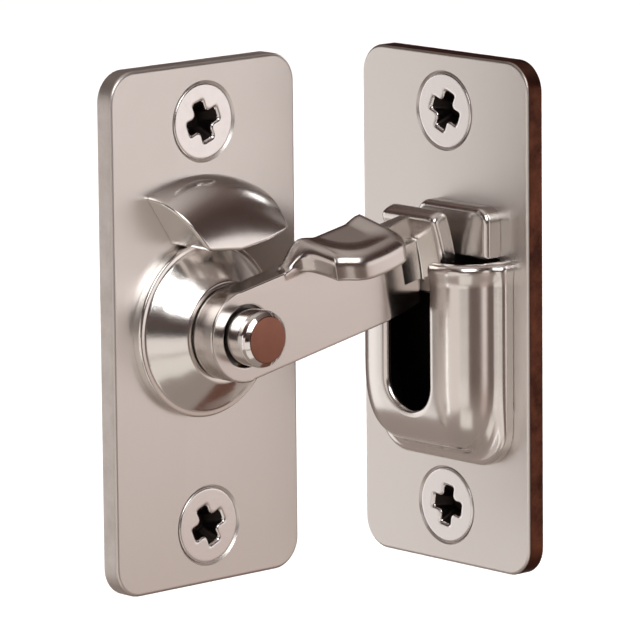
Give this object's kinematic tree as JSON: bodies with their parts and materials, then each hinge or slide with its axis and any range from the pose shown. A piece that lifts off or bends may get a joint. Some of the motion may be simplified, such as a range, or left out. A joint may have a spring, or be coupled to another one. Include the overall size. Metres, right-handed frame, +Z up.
{
  "type": "flip bar door latch",
  "caption": "Flip-bar door latch in two halves: a pivoting bar with a thumb tab and cross head on one plate drops into a slotted cup on a keeper plate set at a right angle.",
  "frame": {"origin": "centre of the bar plate on its back face, the face that lies on the door", "axes": "+X from the bar plate towards the keeper, -Y out of the door face towards the user, +Z up"},
  "size_m": [0.0656, 0.0372, 0.0667],
  "materials": {
    "plate_nickel": "satin nickel plate, fine brushed",
    "cast_nickel": "polished satin nickel on a casting",
    "pin_steel": "turned and polished",
    "spring_steel": "dark spring steel",
    "washer_steel": "bright washer",
    "bush_brass": "bearing bush",
    "screw_steel": "nickel plated screw"
  },
  "bodies": {
    "base": {"bar_plate": "plate_nickel", "pivot_boss": "cast_nickel", "stop_block": "cast_nickel", "pivot_pin": "pin_steel", "retaining_ring": "spring_steel", "thrust_washer": "washer_steel", "wave_washer": "spring_steel", "keeper_plate": "plate_nickel", "keeper_cup": "cast_nickel", "backing_block": "cast_nickel", "bar_screw_top": "screw_steel", "bar_screw_bottom": "screw_steel", "keeper_screw_top": "screw_steel", "keeper_screw_bottom": "screw_steel"},
    "bar": {"latch_bar": "cast_nickel", "pivot_bush": "bush_brass", "catch_head": "cast_nickel"}
  },
  "joints": [
    {"name": "bar_pivot", "type": "hinge", "parent": "base", "child": "bar", "pos_m": [-0.0009, -0.009, -0.00025], "axis": [0, -1, 0], "range_deg": [-14, 17]}
  ]
}
